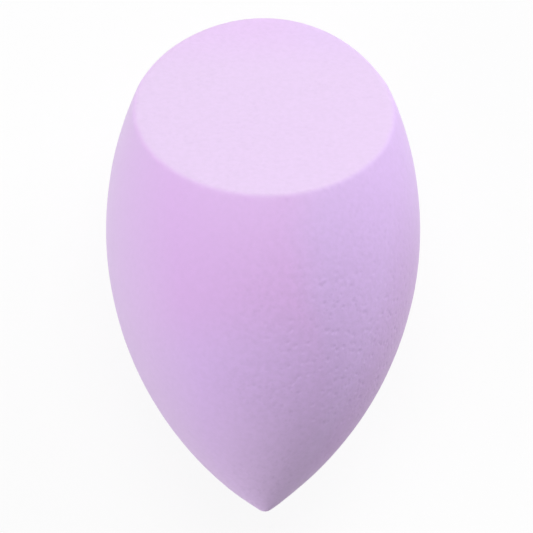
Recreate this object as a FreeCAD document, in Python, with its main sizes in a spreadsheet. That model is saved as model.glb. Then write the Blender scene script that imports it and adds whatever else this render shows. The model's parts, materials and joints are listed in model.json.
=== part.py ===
import FreeCAD, Part
import math
import os
import Sketcher

# A makeup sponge: one block of soft open-cell foam, turned to a pointed drop with one oblique flat face.
# The foam is shaped upright about the Z axis, with its widest section at the origin, its tip down
# and its flat face towards -Y and up. It is then laid on its back, as it rests on a table:
# tip towards -Y, flat face up, mirror plane at X = 0, and the origin below the middle of its box.

# Driving dimensions, in millimetres and degrees
SIZES = {
    "girth_diameter": 40.0,
    "side_radius": 43.25,  # the long arc of the drop's side, from the tip past the widest section
    "tip_radius": 1.2,
    "top_slope": 26.75,  # between the axis and the straight side that follows the arc
    "cut_angle": 45.0,  # between the flat face and the widest section
    "cut_rise": 20.5,  # from the widest section up to the flat face, along the axis
    "rim_radius": 0.9,
    "rest_depth": 0.5,  # how far the foam flattens where it lies
}

# The numbers by which every sketch knows its own two axes, and the points of its elements
UP_AXIS, ALONG_AXIS = range(-2, 0)
START, END, CENTRE = range(1, 4)
SKETCH_NORMAL = FreeCAD.Vector(0, 0, 1)


def add_size(sheet, name, value):
    """Adds one named number below the sheet's last row."""
    row = len(sheet.getUsedCells()) // 2 + 1
    sheet.set(f"A{row}", name)
    sheet.set(f"B{row}", str(value))
    sheet.setAlias(f"B{row}", name)


def fill_sheet(doc):
    """Makes the sheet of driving dimensions, with one named cell each."""
    sheet = doc.addObject("Spreadsheet::Sheet", "sizes")
    for name, value in SIZES.items():
        add_size(sheet, name, value)
    doc.recompute()
    return sheet


def mirror_plane_sketch(body, name):
    """An empty sketch on the body's mirror plane, with its first axis along Y and its second along Z."""
    sketch = body.newObject("Sketcher::SketchObject", name)
    plane = next(item for item in body.Origin.OriginFeatures if item.Role == "YZ_Plane")
    sketch.AttachmentSupport = [(plane, "")]
    sketch.MapMode = "FlatFace"
    return sketch


def relate(sketch, kind, *elements):
    """Adds a geometric constraint to a sketch."""
    sketch.addConstraint(Sketcher.Constraint(kind, *elements))


def dimension(sketch, name, expression, kind, *elements):
    """Adds a named dimension to a sketch and binds it to an expression of the sheet's cells."""
    value = sketch.evalExpression(expression)
    index = sketch.addConstraint(Sketcher.Constraint(kind, *elements, value))
    sketch.renameConstraint(index, name)
    sketch.setExpression(f"Constraints.{name}", expression)


def drop_profile(body, sheet):
    """Half of the drop's section: the tip, the long arc of the side, the straight top and the axis."""
    sketch = mirror_plane_sketch(body, "drop_profile")
    inset = sheet.side_radius - sheet.girth_diameter / 2
    side_centre = FreeCAD.Vector(-inset, 0, 0)

    # The side's arc holds the tip's rounding inside it, so their centres are this far apart
    apart = sheet.side_radius - sheet.tip_radius
    tip_angle = -math.acos(inset / apart)
    tip_centre = FreeCAD.Vector(0, apart * math.sin(tip_angle), 0)
    tip_point = tip_centre - FreeCAD.Vector(0, sheet.tip_radius, 0)

    slope = math.radians(sheet.top_slope)
    side_end = side_centre + FreeCAD.Vector(math.cos(slope), math.sin(slope), 0) * sheet.side_radius
    top_point = FreeCAD.Vector(0, side_end.y + side_end.x / math.tan(slope), 0)

    tip_circle = Part.Circle(tip_centre, SKETCH_NORMAL, sheet.tip_radius)
    side_circle = Part.Circle(side_centre, SKETCH_NORMAL, sheet.side_radius)
    tip = sketch.addGeometry(Part.ArcOfCircle(tip_circle, -math.pi / 2, tip_angle))
    side = sketch.addGeometry(Part.ArcOfCircle(side_circle, tip_angle, slope))
    top = sketch.addGeometry(Part.LineSegment(side_end, top_point))
    axis = sketch.addGeometry(Part.LineSegment(top_point, tip_point))

    relate(sketch, "PointOnObject", tip, START, UP_AXIS)
    relate(sketch, "PointOnObject", tip, CENTRE, UP_AXIS)
    relate(sketch, "Tangent", tip, END, side, START)
    relate(sketch, "PointOnObject", side, CENTRE, ALONG_AXIS)
    relate(sketch, "Tangent", side, END, top, START)
    relate(sketch, "PointOnObject", top, END, UP_AXIS)
    relate(sketch, "Coincident", top, END, axis, START)
    relate(sketch, "Coincident", axis, END, tip, START)
    dimension(sketch, "tip_radius", "sizes.tip_radius", "Radius", tip)
    dimension(sketch, "side_radius", "sizes.side_radius", "Radius", side)
    dimension(sketch, "inset", "sizes.side_radius - sizes.girth_diameter / 2",
              "DistanceX", side, CENTRE, ALONG_AXIS, START)
    dimension(sketch, "top_slope", "(90 + sizes.top_slope) * 1 deg", "Angle", top)
    return sketch


def turn_drop(body, sheet):
    """The whole drop, pointed at both ends, before the flat face is cut."""
    profile = drop_profile(body, sheet)
    drop = body.newObject("PartDesign::Revolution", "turned_drop")
    drop.Profile = profile
    drop.ReferenceAxis = (profile, ["V_Axis"])
    return drop


def slice_off(body, name, along, up, slope):
    """Cuts away all that lies to the left of a line on the mirror plane, right through the foam.

    The line passes the point (along, up) and points at the slope, in degrees from the Y axis.
    All three are expressions of the sheet's cells.
    """
    sketch = mirror_plane_sketch(body, f"{name}_outline")
    reach = "sizes.side_radius + sizes.girth_diameter"
    far = sketch.evalExpression(reach)
    middle = FreeCAD.Vector(sketch.evalExpression(along), sketch.evalExpression(up), 0)
    turn = FreeCAD.Rotation(SKETCH_NORMAL, sketch.evalExpression(slope))
    first = middle + turn.multVec(FreeCAD.Vector(-far, 0, 0))
    second = middle + turn.multVec(FreeCAD.Vector(far, 0, 0))
    outward = turn.multVec(FreeCAD.Vector(0, far, 0))
    corners = [first, second, second + outward, first + outward]
    ends = corners[1:] + corners[:1]
    line, rise, back, fall = [
        sketch.addGeometry(Part.LineSegment(corner, end)) for corner, end in zip(corners, ends)
    ]
    point = sketch.addGeometry(Part.Point(middle), True)

    for edge, following in [(line, rise), (rise, back), (back, fall), (fall, line)]:
        relate(sketch, "Coincident", edge, END, following, START)
    for edge in (rise, fall):
        relate(sketch, "Perpendicular", line, edge)
    relate(sketch, "Parallel", line, back)
    relate(sketch, "Symmetric", line, START, line, END, point, START)
    dimension(sketch, "along", along, "DistanceX", ALONG_AXIS, START, point, START)
    dimension(sketch, "up", up, "DistanceY", ALONG_AXIS, START, point, START)
    dimension(sketch, "slope", f"({slope}) * 1 deg", "Angle", line)
    dimension(sketch, "width", f"2 * ({reach})", "Distance", line)
    dimension(sketch, "depth", reach, "Distance", rise)

    cut = body.newObject("PartDesign::Pocket", name)
    cut.Profile = sketch
    cut.Type = "ThroughAll"
    cut.SideType = "Symmetric"
    return cut


def flat_face_edges(shape):
    """Names of the edges round the shape's one flat face."""
    flat = next(face for face in shape.Faces if isinstance(face.Surface, Part.Plane))
    numbered = enumerate(shape.Edges, 1)
    return [f"Edge{number}" for number, edge in numbered if any(edge.isSame(rim) for rim in flat.Edges)]


def round_rim(body, cut):
    """Softens the rim between the flat face and the drop's side."""
    rim = body.newObject("PartDesign::Fillet", "rounded_rim")
    rim.Base = (cut, flat_face_edges(cut.Shape))
    rim.setExpression("Radius", "sizes.rim_radius")
    return rim


def resting_tilt(foam, sheet):
    """How far the axis leans, tip down, when the foam lies still on its side, in degrees.

    It lies still where its centre of mass is straight below the centre of the arc it rolls on.
    """
    arc_centre = FreeCAD.Vector(0, sheet.girth_diameter / 2 - sheet.side_radius, 0)
    heavy_side = foam.CenterOfGravity - arc_centre
    return math.degrees(math.atan2(-heavy_side.z, heavy_side.y))


def flatten_underside(body):
    """Presses the foam flat where it lies, square to the line from the side's arc centre."""
    pressed = "(sizes.side_radius - sizes.rest_depth)"
    along = f"sizes.girth_diameter / 2 - sizes.side_radius + {pressed} * cos(sizes.lying_tilt)"
    up = f"-{pressed} * sin(sizes.lying_tilt)"
    return slice_off(body, "resting_patch", along, up, "-90 - sizes.lying_tilt")


def lay_down(body, tilt):
    """Turns the foam onto its back and sets the middle of its box over the origin."""
    lean = math.radians(tilt)
    underside = FreeCAD.Vector(0, math.cos(lean), -math.sin(lean))
    turn = FreeCAD.Rotation(underside, FreeCAD.Vector(0, 0, -1))
    body.Placement = FreeCAD.Placement(FreeCAD.Vector(), turn)
    box = body.Shape.optimalBoundingBox(False, False)
    body.Placement.Base = FreeCAD.Vector(0, -box.Center.y, -box.ZMin)


def require_less(doc, before, after):
    """Recomputes and makes sure that a feature took something away."""
    doc.recompute()
    if not after.Shape.Volume < before.Shape.Volume:
        raise RuntimeError(f"{after.Name} cuts nothing")


def foam_body(doc, sheet):
    """The sponge's one block of foam, lying on its back."""
    body = doc.addObject("PartDesign::Body", "foam_body")
    body.Label = "foam_body"
    drop = turn_drop(body, sheet)
    doc.recompute()
    cut = slice_off(body, "flat_face", "0", "sizes.cut_rise", "sizes.cut_angle")
    require_less(doc, drop, cut)
    rim = round_rim(body, cut)
    require_less(doc, cut, rim)

    tilt = resting_tilt(rim.Shape, sheet)
    add_size(sheet, "lying_tilt", tilt)
    doc.recompute()
    patch = flatten_underside(body)
    require_less(doc, rim, patch)
    lay_down(body, tilt)
    doc.recompute()
    return body


def check(doc, pieces):
    """Stops if anything in the document failed, or a piece isn't one whole solid."""
    for item in doc.Objects:
        if "Invalid" in item.State or "Error" in item.State:
            raise RuntimeError(f"{item.Name} failed: {item.State}")
    for piece in pieces:
        shape = piece.Shape
        if shape.isNull() or not shape.isValid() or len(shape.Solids) != 1:
            raise RuntimeError(f"{piece.Label} isn't one valid solid")


def main():
    doc = FreeCAD.newDocument("makeup_sponge")
    sheet = fill_sheet(doc)
    pieces = [foam_body(doc, sheet)]
    check(doc, pieces)
    os.makedirs("parts", exist_ok=True)
    for piece in pieces:
        piece.Shape.exportStep(f"parts/{piece.Label}.step")


main()
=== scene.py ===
import json
import math

import bpy
import numpy as np
from bpy.props import FloatProperty, FloatVectorProperty, PointerProperty
from mathutils import Matrix, Vector


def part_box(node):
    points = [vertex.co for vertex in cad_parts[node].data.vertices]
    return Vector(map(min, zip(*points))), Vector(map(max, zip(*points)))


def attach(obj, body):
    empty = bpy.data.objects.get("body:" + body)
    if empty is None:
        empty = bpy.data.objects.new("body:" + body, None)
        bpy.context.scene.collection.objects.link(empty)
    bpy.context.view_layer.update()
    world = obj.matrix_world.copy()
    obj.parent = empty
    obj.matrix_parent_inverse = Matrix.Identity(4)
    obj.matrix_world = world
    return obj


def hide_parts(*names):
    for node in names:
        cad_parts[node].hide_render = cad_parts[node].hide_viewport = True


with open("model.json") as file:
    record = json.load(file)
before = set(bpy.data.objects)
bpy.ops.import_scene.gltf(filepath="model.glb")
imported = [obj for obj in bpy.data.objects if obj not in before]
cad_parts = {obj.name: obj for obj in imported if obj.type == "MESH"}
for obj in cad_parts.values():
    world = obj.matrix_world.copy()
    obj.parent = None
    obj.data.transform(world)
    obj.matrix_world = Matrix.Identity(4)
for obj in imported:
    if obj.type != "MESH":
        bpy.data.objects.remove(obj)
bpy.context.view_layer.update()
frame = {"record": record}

bl_info = {
    "name": "Makeup Sponge",
    "version": (1, 0, 0),
    "blender": (4, 5, 0),
    "location": "View3D > Sidebar > Sponge",
    "description": "Models a drop-shaped foam makeup sponge with an oblique flat face, and its stage",
    "category": "Object",
}

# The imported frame: the whole box, the girth, the point that the foam lies on and its flat face, in metres
FOAM_NODE = "foam_body"
LOWEST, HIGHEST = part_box(FOAM_NODE)
MOUNTS = {mount["name"]: mount for mount in frame["record"]["mounts"]}
REST_POINT = Vector(MOUNTS["lying_patch"]["pos_m"])
FACE_POINT = Vector(MOUNTS["oblique_flat_face"]["pos_m"])
FACE_NORMAL = Vector(MOUNTS["oblique_flat_face"]["axis"]).normalized()
DOWN = Vector(MOUNTS["lying_patch"]["axis"])

MM = 0.001
WELD = 1e-7  # points nearer than this are one point
RIM_WELD = 0.05 * MM  # the same for points along the cut's rim
TIP_STEPS, SIDE_STEPS, TURN_STEPS = 8, 160, 256
BEVEL_WIDTH, BEVEL_STEPS, BEVEL_CREASE = RIM_WELD / 4, 8, math.radians(30)
INSET_SHARE = 0.25  # of the rim's radius, from the rim to the second outline on the face
SMOOTHING, SMOOTHING_PASSES = 0.5, 5
SWELL_LEVEL = 0.5  # of the swells' height, where the skin stays in its place
WEIGHT_STEPS = 100
UNWRAP_ANGLE, UNWRAP_MARGIN = math.radians(66), 0.003

# Zones of the skin, each from where it begins to where it is full: turns in degrees off a direction,
# and places across the sponge (right) or along it (below towards the tip, above away from it) in metres
# The flat face gets painted light as a paler colour, the left edge painted pale light, and the right edge
# painted shade
FACE_TURN, LEFT_TURN, RIGHT_TURN = (75, 0), (55, 12), (40, 12)
FACE_FALL = 3  # the power by which the pale face fades over its rim
# Painted shade: the right edge is darkened between these places along the sponge
SHADE_BELOW, SHADE_ABOVE = (8 * MM, -8 * MM), (-31 * MM, -25 * MM)
PORES_RIGHT, PORES_BELOW, CLOSED_BELOW = (-6 * MM, 11 * MM), (4 * MM, -15 * MM), (-20 * MM, -27 * MM)
PORES_SLANT = 0.35  # how far the pores' border moves to the right for each step along
# Painted tint of light: the side turns cooler to the right and towards the tip
COOL_RIGHT, COOL_BELOW = (0.5 * MM, 9 * MM), (-10 * MM, -19 * MM)
DULL_BELOW, FAR_FACE = (-18 * MM, LOWEST.y), (21 * MM, HIGHEST.y)

# How far the pores are open on the left, above, at the tip and on the flat face, which also sets how much
# painted shade darkens them
OPEN_LEFT, OPEN_ABOVE, OPEN_AT_TIP, OPEN_ON_FACE = 0.25, 0.42, 0.6, 0.4

# The finish: the shares that its tones reach at the tip and the far rim, their drift, and its gloss. At the
# tip the cool tone is a painted tint of light, and towards the far rim the flat face's painted-light
# paleness grows weaker
COOL_TIP_SHARE, DULL_TIP_SHARE, FAR_FACE_SHARE = 0.8, 0.9, 0.65
DRIFT_SPAN, DRIFT_DETAIL, DRIFT_REACH = 14 * MM, 1.0, 12 * MM
GLOSS, SHEEN_ROUGHNESS = 0.2, 0.5

# The grain: crowds of pores, pin holes between them and a fine mottle; the pores and pin holes are darkened
# with painted shade. A pair is the two ends of a range
CROWD_SPAN, CROWD_NOISE, CROWD_SHADE = 9 * MM, (0.40, 0.62), (0.3, 1.0)
PIN_SPACING, PIN_EDGE, PIN_SHADE = 0.55 * MM, (0.05, 0.45), 0.6
MOTTLE_SPAN, MOTTLE_DETAIL, MOTTLE_NOISE = 0.7 * MM, 3.0, (0.25, 0.75)
MOTTLE_LIGHT, MOTTLE_SHARE = (0.965, 1.035), (0.25, 1.0)
MOTTLE_ROUGHNESS, MOTTLE_HEIGHT = (0.86, 0.98), 0.4
RELIEF_STRENGTH, RELIEF_DEPTH = (0.15, 0.4), 0.04 * MM
FULL_RANGE, FULL_TO_NONE = (0.0, 1.0), (1.0, 0.0)

# The mix node's sockets for colours, by number
MIX_SHARE, MIX_FIRST, MIX_SECOND, MIX_RESULT = 0, 6, 7, 2

# The stage: sizes in metres, and each lamp's direction from the foam with its width
FLOOR_SIZE, NEAREST_SEEN = 4, 10 * MM
TOP_LAMP = (0.0, 0.34, 0.94), 450 * MM
RIGHT_LAMP = (0.56, 0.66, 0.50), 450 * MM
LEFT_LAMP = (-0.89, -0.38, 0.26), 300 * MM
WHITE = (1, 1, 1)


def length(name, description, default):
    """A property for a size in metres."""
    return FloatProperty(
        name=name, description=description, default=default, min=0, precision=5, unit="LENGTH")


def angle(name, description, degrees):
    """A property for an angle, given in degrees."""
    return FloatProperty(name=name, description=description, default=math.radians(degrees), subtype="ANGLE")


def share(name, description, default):
    """A property for a share from 0 to 1."""
    return FloatProperty(name=name, description=description, default=default, min=0, max=1, subtype="FACTOR")


def colour(name, description, default):
    """A property for a linear colour."""
    return FloatVectorProperty(
        name=name, description=description, default=default, min=0, max=1, size=3, subtype="COLOR")


class SpongeFoam(bpy.types.PropertyGroup):
    """Sizes and colours of the foam."""

    girth: length("Girth", "Width of the sponge at its widest section", round(HIGHEST.x - LOWEST.x, 4))
    side_radius: length("Side radius", "Radius of the long arc of the drop's side", 43.25 * MM)
    tip_radius: length("Tip radius", "Radius of the rounded tip", 1.2 * MM)
    top_slope: angle("Top slope", "Between the axis and the straight side above the arc", 26.75)
    cut_angle: angle("Cut angle", "Between the flat face and the widest section", 45)
    rim_radius: length("Rim radius", "Radius of the rounding round the flat face", 0.9 * MM)
    rest_depth: length("Rest depth", "How far the foam flattens where it lies", 0.5 * MM)
    tip_lean: length("Tip lean", "How far the soft tip leans to one side", 0.25 * MM)
    tip_reach: length("Tip reach", "How far from the tip its lean begins", 6 * MM)
    crown_lean: length("Crown lean", "How far the soft far rim leans to the same side", 0.42 * MM)
    crown_reach: length("Crown reach", "How far from the far rim its lean begins", 20 * MM)
    mesh_step: length("Mesh step", "Spacing of the points on the foam's skin", 0.2 * MM)
    swell: length("Swell", "Height of the slow unevenness of the skin", 0.10 * MM)
    swell_span: length("Swell span", "Distance between the swells", 11 * MM)
    pore_spacing: length("Pore spacing", "Distance between the open pores", 0.95 * MM)
    pore_radius: length("Pore radius", "Radius of the open pores", 0.40 * MM)
    pore_depth: length("Pore depth", "Depth of the open pores", 0.07 * MM)
    cell_spacing: length("Cell spacing", "Distance between the small foam cells", 0.75 * MM)
    cell_radius: length("Cell radius", "Radius of the small foam cells", 0.27 * MM)
    cell_depth: length("Cell depth", "Depth of the small foam cells", 0.025 * MM)
    # Painted tint of light: the lilac is the cool end, to the right and at the tip, and the pink lilac the
    # warm middle; noise makes their border wander at random
    lilac: colour("Lilac", "Colour of the drop's side", (0.80, 0.562, 0.98))
    warm_light_lilac: colour("Pink lilac", "Warmer tone down the middle of the side", (0.825, 0.527, 0.95))
    # Painted light on the left edge, where pale light glances off it; towards the tip the same colour is a
    # greyer tone
    grey_tip_and_edge_light: colour("Grey lilac", "Duller tone at the left edge and the tip", (0.80, 0.585, 0.92))
    # Painted shade: a darker, warmer mauve on the right edge towards the tip
    painted_shade_mauve: colour("Mauve", "Warmer, darker tone at the right edge towards the tip", (0.735, 0.48, 0.87))
    # Painted light: the flat face is painted paler, as strong light falling on it washes it out
    face_painted_light: colour("Pale lilac", "Colour of the flat face", (0.805, 0.627, 0.893))
    # Painted shade: the colour that darkens the pores
    pore_shade_lilac: colour("Pore lilac", "Colour at the bottom of a pore", (0.42, 0.28, 0.55))
    pore_shade: share("Pore shade", "How strongly the pores take the pore colour", 0.2)
    nap: share("Nap", "How much the velvety skin catches light at its edges", 0.35)


class SpongeStage(bpy.types.PropertyGroup):
    """The camera, the lamps and the floor."""

    view_tilt: angle("View tilt", "How far the camera stands from square to the axis, towards the tip", 9.3)
    view_roll: angle("View roll", "How far the camera is turned round the axis, to the left", 1.4)
    view_distance: length("View distance", "From the camera to the foam's axis", 400 * MM)
    view_width: length("View width", "Width of what the camera sees at that distance", 67.80 * MM)
    view_point: length("View point", "From the widest section to where the camera aims", 4.20 * MM)
    shift_right: length("Shift right", "From there to the middle of the picture", 0.43 * MM)
    shift_down: length("Shift down", "From there to the middle of the picture", 0.81 * MM)
    floor_colour: colour("Floor colour", "Colour of the floor", (0.92, 0.92, 0.92))
    backdrop_share: share("Backdrop share", "How far the floor fades to the white backdrop", 0.9)
    sky: share("Sky", "Soft light from all round, as a share of full light", 0.218)
    top_light: share("Top light", "Light of the lamp overhead, as a share of full light", 0.513)
    right_light: share("Right light", "Light of the lamp on the right, as a share of full light", 0.452)
    left_light: share("Left light", "Light of the low lamp on the left, as a share of full light", 0.352)
    lamp_distance: length("Lamp distance", "From the lamps to the foam", 700 * MM)


def only(piece):
    """Selects one piece and nothing else."""
    bpy.ops.object.select_all(action="DESELECT")
    piece.select_set(True)
    bpy.context.view_layer.objects.active = piece


def finish_with(piece, kind, **settings):
    """Adds a modifier to a piece and applies it."""
    only(piece)
    modifier = piece.modifiers.new(kind.title(), kind)
    for name, value in settings.items():
        setattr(modifier, name, value)
    bpy.ops.object.modifier_apply(modifier=modifier.name)


def places(piece):
    """The places of a piece's points, one row each."""
    flat = np.empty(3 * len(piece.data.vertices), np.float32)
    piece.data.vertices.foreach_get("co", flat)
    return flat.reshape(-1, 3)


def edit_points(piece, chosen):
    """Opens a piece in edit mode with the chosen points selected."""
    only(piece)
    bpy.context.tool_settings.mesh_select_mode = (True, False, False)
    bpy.ops.object.mode_set(mode="EDIT")
    bpy.ops.mesh.select_all(action="DESELECT")
    bpy.ops.object.mode_set(mode="OBJECT")
    piece.data.vertices.foreach_set("select", np.asarray(chosen, bool))
    bpy.ops.object.mode_set(mode="EDIT")


def side_inset(foam):
    """From the drop's axis back to the centre of its side's arc."""
    return foam.side_radius - foam.girth / 2


def turn_core(foam):
    """Turns the drop upright about the Z axis, tip down, a rim's radius too small all round."""
    inset = side_inset(foam)
    apart = foam.side_radius - foam.tip_radius
    tip_angle = -math.acos(inset / apart)
    tip_centre = Vector((0, 0, apart * math.sin(tip_angle)))
    tip_radius = foam.tip_radius - foam.rim_radius
    side_radius = foam.side_radius - foam.rim_radius
    side_end = side_radius * math.cos(foam.top_slope) - inset
    top_line = Vector((0, -side_end, side_end / math.tan(foam.top_slope)))

    bpy.ops.object.select_all(action="DESELECT")
    bpy.ops.mesh.primitive_plane_add(size=foam.tip_radius)
    drop = bpy.context.object
    drop.name = drop.data.name = "sponge_foam"
    bpy.ops.object.mode_set(mode="EDIT")
    bpy.ops.mesh.merge(type="CENTER")
    bpy.ops.transform.translate(value=tip_centre - Vector((0, 0, tip_radius)))
    bpy.ops.mesh.spin(
        steps=TIP_STEPS, angle=math.pi / 2 + tip_angle, center=tip_centre, axis=(-1, 0, 0))
    bpy.ops.mesh.spin(
        steps=SIDE_STEPS, angle=foam.top_slope - tip_angle, center=(0, -inset, 0), axis=(-1, 0, 0))
    bpy.ops.mesh.extrude_region_move(TRANSFORM_OT_translate={"value": top_line})
    bpy.ops.mesh.select_all(action="SELECT")
    bpy.ops.mesh.spin(steps=TURN_STEPS, angle=2 * math.pi, center=(0, 0, 0), axis=(0, 0, 1))
    bpy.ops.mesh.select_all(action="SELECT")
    bpy.ops.mesh.remove_doubles(threshold=WELD)
    bpy.ops.mesh.normals_make_consistent(inside=False)
    bpy.ops.object.mode_set(mode="OBJECT")
    return drop


def lean(foam):
    """How far the axis leans, tip down, as the foam lies."""
    return math.atan2(FACE_NORMAL.z, FACE_NORMAL.y) - (math.pi / 2 - foam.cut_angle)


def girth_centre(foam):
    """The middle of the widest section, as the foam lies."""
    arc_centre = REST_POINT - DOWN * (foam.side_radius - foam.rest_depth)
    underside = Vector((0, math.sin(lean(foam)), -math.cos(lean(foam))))
    return arc_centre + underside * side_inset(foam)


def lay_down(drop, foam):
    """Lays the drop on its back, as the CAD solid lies."""
    only(drop)
    drop.location = girth_centre(foam)
    drop.rotation_euler.x = lean(foam) - math.pi / 2
    bpy.ops.object.transform_apply(location=True, rotation=True, scale=True)


def slice_off(drop, point, outward):
    """Cuts the drop at a point, closes it there and presses the cut flat."""
    only(drop)
    bpy.ops.object.mode_set(mode="EDIT")
    bpy.ops.mesh.select_all(action="SELECT")
    bpy.ops.mesh.bisect(plane_co=point, plane_no=outward, use_fill=True, clear_outer=True)
    axes = outward.to_track_quat("Z", "Y").to_matrix().col
    bpy.ops.transform.resize(
        value=(1, 1, 0), orient_matrix=[tuple(axis) for axis in axes], orient_matrix_type="GLOBAL",
        center_override=point)
    bpy.ops.object.mode_set(mode="OBJECT")


def over_face(drop, foam):
    """How high each point of the core lies over the core's own flat face."""
    core_face = FACE_POINT - FACE_NORMAL * foam.rim_radius
    return (places(drop) - np.array(core_face)) @ np.array(FACE_NORMAL)


def round_rim(drop, foam):
    """Swells the cut core to its full size, which rounds the rim of the flat face on the way.

    A narrow bevel first gives the rim's points directions that fan out from the side to the face,
    and a second outline inside the rim keeps the face itself flat.
    """
    edit_points(drop, abs(over_face(drop, foam)) < RIM_WELD)
    bpy.ops.mesh.remove_doubles(threshold=RIM_WELD)
    bpy.ops.object.mode_set(mode="OBJECT")
    finish_with(
        drop, "BEVEL", width=BEVEL_WIDTH, segments=BEVEL_STEPS, limit_method="ANGLE",
        angle_limit=BEVEL_CREASE, use_clamp_overlap=False)
    edit_points(drop, abs(over_face(drop, foam)) < WELD)
    bpy.ops.mesh.select_mode(type="FACE")
    bpy.ops.mesh.inset(thickness=foam.rim_radius * INSET_SHARE)
    bpy.ops.object.mode_set(mode="OBJECT")
    finish_with(drop, "DISPLACE", strength=foam.rim_radius, mid_level=0)


def even_skin(drop, foam):
    """Gives the drop an even skin of small faces."""
    finish_with(drop, "REMESH", mode="VOXEL", voxel_size=foam.mesh_step)
    finish_with(drop, "SMOOTH", factor=SMOOTHING, iterations=SMOOTHING_PASSES)


def lean_end(drop, chosen, distance, reach):
    """Leans one end of the soft foam to the side, from its chosen points back as far as the reach."""
    edit_points(drop, chosen)
    bpy.ops.transform.translate(
        value=(distance, 0, 0), use_proportional_edit=True,
        proportional_edit_falloff="SMOOTH", proportional_size=reach)
    bpy.ops.object.mode_set(mode="OBJECT")


def lean_ends(drop, foam):
    """Leans the tip and the far rim as soft foam settles, a little to one side."""
    along = places(drop)[:, 1]
    lean_end(drop, along == along.min(), foam.tip_lean, foam.tip_reach)
    along = places(drop)[:, 1]
    lean_end(drop, along == along.max(), foam.crown_lean, foam.crown_reach)


def note(drop, name, values):
    """Keeps a number for each point of the skin, which the finish reads."""
    attribute = drop.data.attributes.new(name, "FLOAT", "POINT")
    attribute.data.foreach_set("value", np.clip(values, 0, 1).astype(np.float32))


def eased(values, low, high):
    """Numbers carried smoothly from 0 at the low end to 1 at the high end."""
    part = np.clip((values - low) / (high - low), 0, 1)
    return part * part * (3 - 2 * part)


def turned(normals, direction, away, flush):
    """How far each point of the skin turns to a direction, between two angles in degrees off it."""
    low, high = math.cos(math.radians(away)), math.cos(math.radians(flush))
    return np.clip((normals @ np.array(direction) - low) / (high - low), 0, 1)


def mark_skin(drop):
    """Notes the flat face and the left edge, which get painted light, the right edge, which gets painted
    shade, and how open the pores are, and gives the last back.

    The pores open to the right and towards the tip, where the light grazes the skin and shows them, and
    close again at the tip itself. On the left and on the flat face they are nearly closed. Their painted
    shade is strongest where they are most open.
    """
    normals = np.empty(3 * len(drop.data.vertices), np.float32)
    drop.data.vertices.foreach_get("normal", normals)
    normals = normals.reshape(-1, 3)
    round_axis = normals * (1, 0, 1)
    round_axis /= np.linalg.norm(round_axis, axis=1, keepdims=True) + WELD
    across, along = places(drop).T[:2]
    near_tip = eased(along, *SHADE_BELOW) * eased(along, *SHADE_ABOVE)
    face = turned(normals, FACE_NORMAL, *FACE_TURN) ** FACE_FALL
    to_right = OPEN_LEFT + (1 - OPEN_LEFT) * eased(across - PORES_SLANT * along, *PORES_RIGHT)
    to_tip = OPEN_ABOVE + (1 - OPEN_ABOVE) * eased(along, *PORES_BELOW)
    at_tip = 1 - (1 - OPEN_AT_TIP) * eased(along, *CLOSED_BELOW)
    openness = to_right * to_tip * at_tip * (1 - face) + OPEN_ON_FACE * face
    note(drop, "face", face)
    # The left edge, which gets painted light
    note(drop, "left_edge_light", turned(round_axis, (-1, 0, 0), *LEFT_TURN))
    # The right edge towards the tip, which gets painted shade
    note(drop, "right_edge_shade", turned(round_axis, (1, 0, 0), *RIGHT_TURN) * near_tip)
    note(drop, "open", openness)
    return openness


def weigh(drop, name, values):
    """A group of all points, each with its own weight to the nearest hundredth."""
    group = drop.vertex_groups.new(name=name)
    steps = np.rint(values * WEIGHT_STEPS).astype(int)
    for step in np.unique(steps).tolist():
        group.add(np.flatnonzero(steps == step).tolist(), step / WEIGHT_STEPS, "REPLACE")
    return group.name


def unwrap(drop):
    """Lays the smooth skin out flat for baked colours, before the pores break it up."""
    only(drop)
    drop.data.uv_layers.new(name="OFBake")
    bpy.ops.object.mode_set(mode="EDIT")
    bpy.ops.mesh.select_all(action="SELECT")
    bpy.ops.uv.smart_project(angle_limit=UNWRAP_ANGLE, island_margin=UNWRAP_MARGIN)
    bpy.ops.object.mode_set(mode="OBJECT")


def swells(name, span):
    """A slow, cloudy texture whose clouds are about a span apart."""
    texture = bpy.data.textures.new(name, "CLOUDS")
    texture.noise_basis = "IMPROVED_PERLIN"
    texture.noise_scale = span
    texture.noise_depth = 1
    return texture


def bubbles(name, spacing, radius):
    """A texture of scattered round bubbles, full in their middle and nothing past their radius."""
    texture = bpy.data.textures.new(name, "VORONOI")
    texture.noise_scale = spacing
    texture.use_color_ramp = True
    texture.color_ramp.interpolation = "EASE"
    middle, edge = texture.color_ramp.elements
    middle.position, middle.color = 0, (1, 1, 1, 1)
    edge.position, edge.color = radius / spacing, (0, 0, 0, 1)
    return texture


def press(drop, texture, height, level, group=""):
    """Moves the skin out by a texture's height above the given level, by the group's weights."""
    finish_with(
        drop, "DISPLACE", texture=texture, texture_coords="LOCAL", strength=height, mid_level=level,
        vertex_group=group)


def open_pores(drop, foam, openness):
    """Sinks the pores and the small cells into the skin and notes how deep each point went."""
    press(drop, swells("skin_swells", foam.swell_span), foam.swell, SWELL_LEVEL)
    before = places(drop)
    group = weigh(drop, "openness", openness)
    press(drop, bubbles("open_pores", foam.pore_spacing, foam.pore_radius), -foam.pore_depth, 0, group)
    press(drop, bubbles("foam_cells", foam.cell_spacing, foam.cell_radius), -foam.cell_depth, 0, group)
    note(drop, "pore", np.linalg.norm(places(drop) - before, axis=1) / foam.pore_depth)
    drop.vertex_groups.clear()


def flatten_underside(drop):
    """Keeps the skin on the surface that it lies on."""
    edit_points(drop, places(drop)[:, 2] < 0)
    bpy.ops.transform.resize(value=(1, 1, 0), center_override=REST_POINT)
    bpy.ops.object.mode_set(mode="OBJECT")


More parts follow.
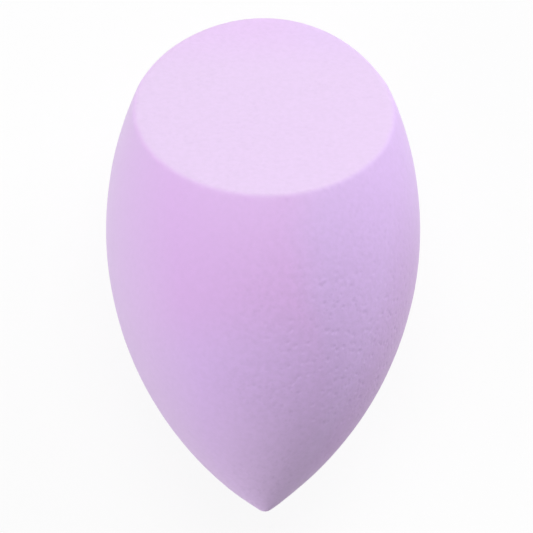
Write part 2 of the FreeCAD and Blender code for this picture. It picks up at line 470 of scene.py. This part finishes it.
def check_closed(drop):
    """Stops if the foam isn't one closed skin."""
    only(drop)
    bpy.context.tool_settings.mesh_select_mode = (True, False, False)
    bpy.ops.object.mode_set(mode="EDIT")
    bpy.ops.mesh.select_all(action="DESELECT")
    bpy.ops.mesh.select_non_manifold()
    bpy.ops.object.mode_set(mode="OBJECT")
    loose = sum(vertex.select for vertex in drop.data.vertices)
    if loose or not drop.data.polygons:
        raise RuntimeError(f"the foam's skin is open at {loose} points")


class NodeDesk:
    """Adds nodes to a material's or world's tree and links them."""

    def __init__(self, tree):
        self.tree = tree
        tree.nodes.clear()

    def add(self, kind, inputs=None, **settings):
        """A node with its settings, and its inputs given as values or as other nodes' outputs."""
        node = self.tree.nodes.new(kind)
        for name, value in settings.items():
            setattr(node, name, value)
        for name, value in (inputs or {}).items():
            socket = node.inputs[name]
            if isinstance(value, bpy.types.NodeSocket):
                self.tree.links.new(value, socket)
            else:
                socket.default_value = value
        return node

    def math(self, operation, first, second=0.0, third=0.0, clamp=False):
        """One sum of two or three numbers or outputs."""
        inputs = {0: first, 1: second, 2: third}
        node = self.add("ShaderNodeMath", inputs, operation=operation, use_clamp=clamp)
        return node.outputs["Value"]

    def spread(self, value, given, wanted=FULL_RANGE):
        """An output carried smoothly from the given range to the wanted one."""
        inputs = {
            "Value": value, "From Min": given[0], "From Max": given[1],
            "To Min": wanted[0], "To Max": wanted[1]}
        node = self.add("ShaderNodeMapRange", inputs, interpolation_type="SMOOTHSTEP")
        return node.outputs["Result"]

    def mix(self, share_of_second, first, second, blend="MIX"):
        """Two colours blended."""
        node = self.add("ShaderNodeMix", data_type="RGBA", blend_type=blend)
        for index, value in ((MIX_SHARE, share_of_second), (MIX_FIRST, first), (MIX_SECOND, second)):
            if isinstance(value, bpy.types.NodeSocket):
                self.tree.links.new(value, node.inputs[index])
            else:
                node.inputs[index].default_value = value
        return node.outputs[MIX_RESULT]

    def noted(self, name):
        """A number that the skin keeps at each point."""
        return self.add("ShaderNodeAttribute", attribute_name=name).outputs["Fac"]

    def noise(self, place, span, detail=2.0):
        """Soft noise whose patches are about a span across."""
        node = self.add("ShaderNodeTexNoise", {"Vector": place, "Scale": 1 / span, "Detail": detail})
        return node.outputs["Fac"]

    def cells(self, place, spacing):
        """The distance to the nearest of many scattered points."""
        node = self.add("ShaderNodeTexVoronoi", {"Vector": place, "Scale": 1 / spacing})
        return node.outputs["Distance"]


def opaque(rgb):
    """A colour with full cover."""
    return (*rgb, 1.0)


def lilac_foam(foam):
    """Matte lilac foam: drifting tones that carry a painted tint of light, painted pale light on the left
    edge and painted shade on the right edge, a flat face painted paler as strong light leaves it, pores
    darkened with painted shade, and a fine velvety grain.
    """
    material = bpy.data.materials.new("lilac_foam")
    material.use_nodes = True
    desk = NodeDesk(material.node_tree)
    place = desk.add("ShaderNodeTexCoord").outputs["Object"]

    # Tones: a warm middle of the side that cools to the right and at the tip as a painted tint of light, a
    # greyer left edge as painted pale light, greyer towards the tip, a darker mauve at the right edge
    # towards the tip as painted shade, and a flat face painted paler as strong light washes it out
    wander = desk.noise(place, DRIFT_SPAN, DRIFT_DETAIL)
    drift = desk.math("MULTIPLY_ADD", wander, DRIFT_REACH, -DRIFT_REACH / 2)
    axes = desk.add("ShaderNodeSeparateXYZ", {"Vector": place}).outputs
    across = desk.math("ADD", axes["X"], drift)
    # Painted tint of light: cooler to the right and at the tip, with a border that wanders at random
    cool_tip = desk.spread(axes["Y"], COOL_BELOW, (0.0, COOL_TIP_SHARE))
    cool_light_tint = desk.math("MAXIMUM", desk.spread(across, COOL_RIGHT), cool_tip)
    light_tinted_side = desk.mix(cool_light_tint, opaque(foam.warm_light_lilac), opaque(foam.lilac))
    dull_tip = desk.spread(axes["Y"], DULL_BELOW, (0.0, DULL_TIP_SHARE))
    # Painted light: a greyer left edge, as pale light glances off it, and greyer towards the tip
    edge_light_and_grey_tip = desk.math("MAXIMUM", desk.noted("left_edge_light"), dull_tip)
    edge_lit_grey_side = desk.mix(edge_light_and_grey_tip, light_tinted_side, opaque(foam.grey_tip_and_edge_light))
    # Painted shade: the right edge turns a darker mauve towards the tip
    side = desk.mix(desk.noted("right_edge_shade"), edge_lit_grey_side, opaque(foam.painted_shade_mauve))
    # Painted light: the flat face is painted paler, less so towards the far rim
    far_face = desk.spread(axes["Y"], FAR_FACE, (1.0, FAR_FACE_SHARE))
    face_light_share = desk.math("MULTIPLY", desk.noted("face"), far_face)
    tone = desk.mix(face_light_share, side, opaque(foam.face_painted_light))

    # Grain: pores sunk in the skin, smaller ones that only the finish shows, and a fine mottle; the pores
    # and pin holes are darkened with painted shade
    openness = desk.noted("open")
    crowd = desk.spread(desk.noise(place, CROWD_SPAN), CROWD_NOISE, CROWD_SHADE)
    pin_holes = desk.spread(desk.cells(place, PIN_SPACING), PIN_EDGE, FULL_TO_NONE)
    pin_holes = desk.math("MULTIPLY", pin_holes, desk.math("MULTIPLY", openness, crowd))
    sunk = desk.math("MULTIPLY", desk.noted("pore"), crowd)
    # Painted shade in the pores and pin holes, by how deep and how open they are
    painted_pore_shade = desk.math("MAXIMUM", sunk, desk.math("MULTIPLY", pin_holes, PIN_SHADE))
    pore_shaded = desk.mix(desk.math("MULTIPLY", painted_pore_shade, foam.pore_shade), tone, opaque(foam.pore_shade_lilac))
    mottle = desk.noise(place, MOTTLE_SPAN, MOTTLE_DETAIL)
    light = desk.spread(mottle, MOTTLE_NOISE, MOTTLE_LIGHT)
    base = desk.mix(desk.spread(openness, FULL_RANGE, MOTTLE_SHARE), pore_shaded, light, "MULTIPLY")
    roughness = desk.spread(mottle, MOTTLE_NOISE, MOTTLE_ROUGHNESS)
    relief = desk.math("SUBTRACT", desk.math("MULTIPLY", mottle, MOTTLE_HEIGHT), pin_holes)
    strength = desk.spread(openness, FULL_RANGE, RELIEF_STRENGTH)
    bump = desk.add("ShaderNodeBump", {"Height": relief, "Strength": strength, "Distance": RELIEF_DEPTH})

    skin = desk.add("ShaderNodeBsdfPrincipled", {
        "Base Color": base,
        "Roughness": roughness,
        "Normal": bump.outputs["Normal"],
        "Specular IOR Level": GLOSS,
        "Sheen Weight": foam.nap,
        "Sheen Roughness": SHEEN_ROUGHNESS,
        "Sheen Tint": opaque(WHITE),
    })
    desk.add("ShaderNodeOutputMaterial", {"Surface": skin.outputs["BSDF"]})
    return material


class SPONGE_OT_foam(bpy.types.Operator):
    """Models the foam on its CAD body, with its rim, pores and finish"""

    bl_idname = "sponge.foam"
    bl_label = "Foam"

    def execute(self, context):
        foam = context.scene.sponge_foam
        drop = turn_core(foam)
        lay_down(drop, foam)
        slice_off(drop, FACE_POINT - FACE_NORMAL * foam.rim_radius, FACE_NORMAL)
        round_rim(drop, foam)
        slice_off(drop, REST_POINT, DOWN)
        even_skin(drop, foam)
        lean_ends(drop, foam)
        openness = mark_skin(drop)
        unwrap(drop)
        open_pores(drop, foam, openness)
        flatten_underside(drop)
        check_closed(drop)
        only(drop)
        bpy.ops.object.shade_smooth()
        drop.data.materials.append(lilac_foam(foam))
        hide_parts(FOAM_NODE)
        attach(drop, "root")
        return {"FINISHED"}


def seen_directly(desk):
    """Full for what the camera, a gloss or a clear surface shows, and nothing for light that spreads."""
    path = desk.add("ShaderNodeLightPath").outputs
    seen = desk.math("ADD", path["Is Camera Ray"], path["Is Glossy Ray"])
    return desk.math("ADD", seen, path["Is Transmission Ray"], clamp=True)


def lay_floor(stage):
    """A pale floor that fades to white and keeps the foam's soft shadow."""
    bpy.ops.object.select_all(action="DESELECT")
    bpy.ops.mesh.primitive_plane_add(size=FLOOR_SIZE)
    floor = bpy.context.object
    floor.name = floor.data.name = "floor"
    material = bpy.data.materials.new("pale_floor")
    material.use_nodes = True
    desk = NodeDesk(material.node_tree)
    paper = desk.add("ShaderNodeBsdfDiffuse", {"Color": opaque(stage.floor_colour)})
    white = desk.add("ShaderNodeEmission", {"Color": opaque(WHITE), "Strength": 1.0})
    white_share = desk.math("MULTIPLY", seen_directly(desk), stage.backdrop_share)
    surface = desk.add(
        "ShaderNodeMixShader", {0: white_share, 1: paper.outputs["BSDF"], 2: white.outputs["Emission"]})
    desk.add("ShaderNodeOutputMaterial", {"Surface": surface.outputs["Shader"]})
    floor.data.materials.append(material)


def light_sky(context, stage):
    """A white backdrop that gives soft light from all round."""
    world = bpy.data.worlds.new("soft_sky")
    world.use_nodes = True
    desk = NodeDesk(world.node_tree)
    soft = desk.add("ShaderNodeBackground", {"Color": opaque(WHITE), "Strength": stage.sky})
    white = desk.add("ShaderNodeBackground", {"Color": opaque(WHITE), "Strength": 1.0})
    both = desk.add("ShaderNodeMixShader", {
        0: seen_directly(desk), 1: soft.outputs["Background"], 2: white.outputs["Background"]})
    desk.add("ShaderNodeOutputWorld", {"Surface": both.outputs["Shader"]})
    context.scene.world = world


def hang_lamp(name, target, direction, distance, size, light):
    """A square soft lamp that points at the target from a direction.

    Its light is the share of full light that it gives a surface turned to it, where full light
    shows a colour as it is written.
    """
    bpy.ops.object.select_all(action="DESELECT")
    towards = Vector(direction).normalized()
    bpy.ops.object.light_add(type="AREA", location=target + towards * distance)
    lamp = bpy.context.object
    lamp.name = lamp.data.name = name
    lamp.rotation_euler = towards.to_track_quat("Z", "Y").to_euler()
    lamp.data.size = size
    lamp.data.energy = light * (math.pi * distance) ** 2
    lamp.visible_camera = False


def set_camera(context, stage, middle, axis):
    """A long lens that looks down at the foam from the side of its tip, with the axis upright."""
    square = Vector((1, 0, 0)).cross(axis)
    tilt = Matrix.Rotation(stage.view_tilt, 3, (1, 0, 0))
    roll = Matrix.Rotation(-stage.view_roll, 3, axis)
    up, back = roll @ tilt @ axis, roll @ tilt @ square
    right = up.cross(back)
    aim = middle + right * stage.shift_right - up * stage.shift_down
    bpy.ops.object.select_all(action="DESELECT")
    bpy.ops.object.camera_add(location=aim + back * stage.view_distance)
    camera = bpy.context.object
    camera.name = camera.data.name = "camera"
    camera.rotation_euler = Matrix((right, up, back)).transposed().to_euler()
    camera.data.lens = camera.data.sensor_width * stage.view_distance / stage.view_width
    camera.data.clip_start = NEAREST_SEEN
    context.scene.camera = camera


class SPONGE_OT_stage(bpy.types.Operator):
    """Sets up the floor, the soft light and the camera"""

    bl_idname = "sponge.stage"
    bl_label = "Stage"

    def execute(self, context):
        stage = context.scene.sponge_stage
        foam = context.scene.sponge_foam
        axis = Vector((0, math.cos(lean(foam)), math.sin(lean(foam))))
        middle = girth_centre(foam) - axis * stage.view_point
        lay_floor(stage)
        light_sky(context, stage)
        lamps = (
            ("top_lamp", *TOP_LAMP, stage.top_light),
            ("right_lamp", *RIGHT_LAMP, stage.right_light),
            ("left_lamp", *LEFT_LAMP, stage.left_light),
        )
        for name, direction, size, light in lamps:
            hang_lamp(name, middle, direction, stage.lamp_distance, size, light)
        set_camera(context, stage, middle, axis)
        context.scene.view_settings.view_transform = "Standard"
        return {"FINISHED"}


class SPONGE_PT_panel(bpy.types.Panel):
    """Lists the sponge's sizes and colours and the steps that build it"""

    bl_label = "Makeup Sponge"
    bl_idname = "SPONGE_PT_panel"
    bl_space_type = "VIEW_3D"
    bl_region_type = "UI"
    bl_category = "Sponge"

    def draw(self, context):
        groups = (
            (SPONGE_OT_foam, context.scene.sponge_foam),
            (SPONGE_OT_stage, context.scene.sponge_stage),
        )
        for step, values in groups:
            box = self.layout.box()
            for name in values.__annotations__:
                box.prop(values, name)
            box.operator(step.bl_idname)


CLASSES = (SpongeFoam, SpongeStage, SPONGE_OT_foam, SPONGE_OT_stage, SPONGE_PT_panel)


def register():
    for item in CLASSES:
        bpy.utils.register_class(item)
    bpy.types.Scene.sponge_foam = PointerProperty(type=SpongeFoam)
    bpy.types.Scene.sponge_stage = PointerProperty(type=SpongeStage)


def unregister():
    del bpy.types.Scene.sponge_stage
    del bpy.types.Scene.sponge_foam
    for item in reversed(CLASSES):
        bpy.utils.unregister_class(item)


def main():
    register()
    bpy.ops.sponge.foam()
    bpy.ops.sponge.stage()


if __name__ == "__main__":
    main()
